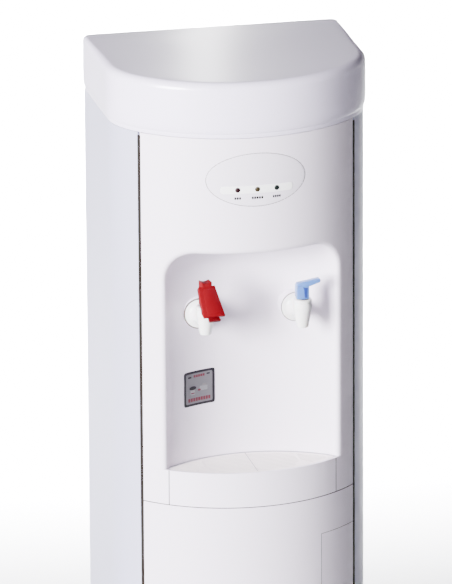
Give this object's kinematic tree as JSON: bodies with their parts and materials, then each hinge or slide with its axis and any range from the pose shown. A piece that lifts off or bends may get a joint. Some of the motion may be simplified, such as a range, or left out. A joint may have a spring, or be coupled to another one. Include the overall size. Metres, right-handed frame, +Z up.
{
  "type": "water dispenser",
  "caption": "Floor-standing mains-fed dispenser with a curved front, coved alcove, hot and cold lever taps, pull-out drip tray and oval indicator panel.",
  "frame": {"origin": "on the floor under the middle of the overall box", "axes": "+Z up, -Y towards the curved front with the taps, +X to the right seen from the front"},
  "size_m": [0.326, 0.2814, 0.98],
  "materials": {
    "cover_white": "satin moulded",
    "side_white": "satin coated",
    "grille_white": "satin moulded",
    "panel_white": "gloss",
    "window_clear": "gloss",
    "lamp_red": "gloss, one dark red, one amber, one green",
    "label_grey": "printed film",
    "seam_brown": "matt",
    "shelf_grey": "matt",
    "tap_white": "gloss",
    "lever_red": "satin",
    "lever_blue": "satin",
    "bright_steel": "bright",
    "seal_silicone": "matt",
    "zinc_steel": "zinc coated",
    "black_rubber": "matt",
    "foam": "rough",
    "copper": "drawn tube",
    "black_steel": "satin",
    "inner_plastic": "natural",
    "float_blue": "matt",
    "board_green": "solder mask",
    "socket_black": "fine texture",
    "rocker_red": "gloss",
    "rocker_green": "gloss"
  },
  "bodies": {
    "cabinet": {"top_lid": "cover_white", "side_panel_left": "side_white", "side_panel_right": "side_white", "back_panel": "zinc_steel", "base_pan": "zinc_steel", "rubber_feet": "black_rubber", "upper_front_panel": "cover_white", "lower_front_panel": "cover_white", "seam_trims": "seam_brown", "tray_shelf": "shelf_grey", "indicator_panel": "panel_white", "indicator_window": "window_clear", "indicator_lamps": "lamp_red", "control_board": "board_green", "label_plate": "label_grey", "tap_nuts": "bright_steel", "hot_tap_body": "tap_white", "hot_bonnet": "tap_white", "cold_tap_body": "tap_white", "cold_bonnet": "tap_white", "cold_tank": "bright_steel", "cold_tank_cover": "inner_plastic", "cold_insulation": "foam", "evaporator_coil": "copper", "float_valve": "inner_plastic", "hot_tank": "bright_steel", "hot_insulation": "foam", "hot_heater": "zinc_steel", "tank_shelf": "zinc_steel", "filter_bracket": "zinc_steel", "filter_cartridges": "inner_plastic", "water_tubes": "inner_plastic", "compressor": "black_steel", "compressor_mounts": "black_rubber", "condenser": "black_steel", "refrigerant_pipes": "copper", "power_panel": "socket_black", "water_inlet": "inner_plastic", "drain_plugs": "inner_plastic", "wiring_harness": "black_rubber", "panel_screws": "bright_steel"},
    "tray": {"drip_tray": "cover_white"},
    "grille": {"drip_grille": "grille_white"},
    "hatch": {"service_hatch": "cover_white"},
    "hot_ring": {"hot_slip_ring": "bright_steel"},
    "hot_valve": {"hot_stem": "bright_steel", "hot_seal": "seal_silicone", "hot_spring": "bright_steel"},
    "hot_handle": {"hot_lever": "lever_red", "hot_lever_pin": "bright_steel"},
    "hot_catch": {"hot_safety_catch": "lever_red"},
    "cold_ring": {"cold_slip_ring": "bright_steel"},
    "cold_valve": {"cold_stem": "bright_steel", "cold_seal": "seal_silicone", "cold_spring": "bright_steel"},
    "cold_handle": {"cold_lever": "lever_blue", "cold_lever_pin": "bright_steel"},
    "float": {"float_arm": "float_blue"},
    "hot_rocker": {"hot_switch": "rocker_red"},
    "cold_rocker": {"cold_switch": "rocker_green"}
  },
  "joints": [
    {"name": "tray_slide", "type": "slide", "parent": "cabinet", "child": "tray", "axis": [0, -1, 0], "range_m": [0, 0.085]},
    {"name": "grille_lift", "type": "slide", "parent": "tray", "child": "grille", "axis": [0, 0, 1], "range_m": [0, 0.03]},
    {"name": "hatch_pull", "type": "slide", "parent": "cabinet", "child": "hatch", "axis": [0.6062, -0.7953, 0], "range_m": [0, 0.04]},
    {"name": "hot_swivel", "type": "hinge", "parent": "cabinet", "child": "hot_ring", "pos_m": [-0.061, -0.10333, 0.694], "axis": [0, 0, 1], "range_deg": [-90, 80]},
    {"name": "hot_lift", "type": "slide", "parent": "hot_ring", "child": "hot_valve", "axis": [0, 0, 1], "range_m": [0, 0.0025], "deforming": ["hot_spring"]},
    {"name": "hot_press", "type": "hinge", "parent": "hot_valve", "child": "hot_handle", "pos_m": [-0.061, -0.10333, 0.70402], "axis": [0.9925, 0.1219, 0], "range_deg": [0, 18], "stiffness_Nm_per_rad": 1, "springref_deg": -8.59},
    {"name": "catch_slide", "type": "slide", "parent": "hot_handle", "child": "hot_catch", "axis": [-0.0839, 0.6832, 0.7254], "range_m": [0, 0.003], "stiffness_N_per_m": 300, "springref_m": -0.003},
    {"name": "cold_swivel", "type": "hinge", "parent": "cabinet", "child": "cold_ring", "pos_m": [0.061, -0.10333, 0.694], "axis": [0, 0, 1], "range_deg": [-170, 10]},
    {"name": "cold_lift", "type": "slide", "parent": "cold_ring", "child": "cold_valve", "axis": [0, 0, 1], "range_m": [0, 0.0025], "deforming": ["cold_spring"]},
    {"name": "cold_press", "type": "hinge", "parent": "cold_valve", "child": "cold_handle", "pos_m": [0.061, -0.10333, 0.70402], "axis": [0, 1, 0], "range_deg": [0, 18], "stiffness_Nm_per_rad": 1, "springref_deg": -8.59},
    {"name": "float_swing", "type": "hinge", "parent": "cabinet", "child": "float", "pos_m": [0.085, 0.04806, 0.7992], "axis": [0, 1, 0], "range_deg": [0, 25]},
    {"name": "hot_switch_rock", "type": "hinge", "parent": "cabinet", "child": "hot_rocker", "pos_m": [-0.105, 0.11266, 0.114], "axis": [1, 0, 0], "range_deg": [-16, 0]},
    {"name": "cold_switch_rock", "type": "hinge", "parent": "cabinet", "child": "cold_rocker", "pos_m": [-0.105, 0.11266, 0.136], "axis": [1, 0, 0], "range_deg": [-16, 0]}
  ],
  "couplings": [
    {"joint": "hot_lift", "follows": "hot_press", "m_per_rad": 0.0072},
    {"joint": "cold_lift", "follows": "cold_press", "m_per_rad": 0.0072}
  ]
}
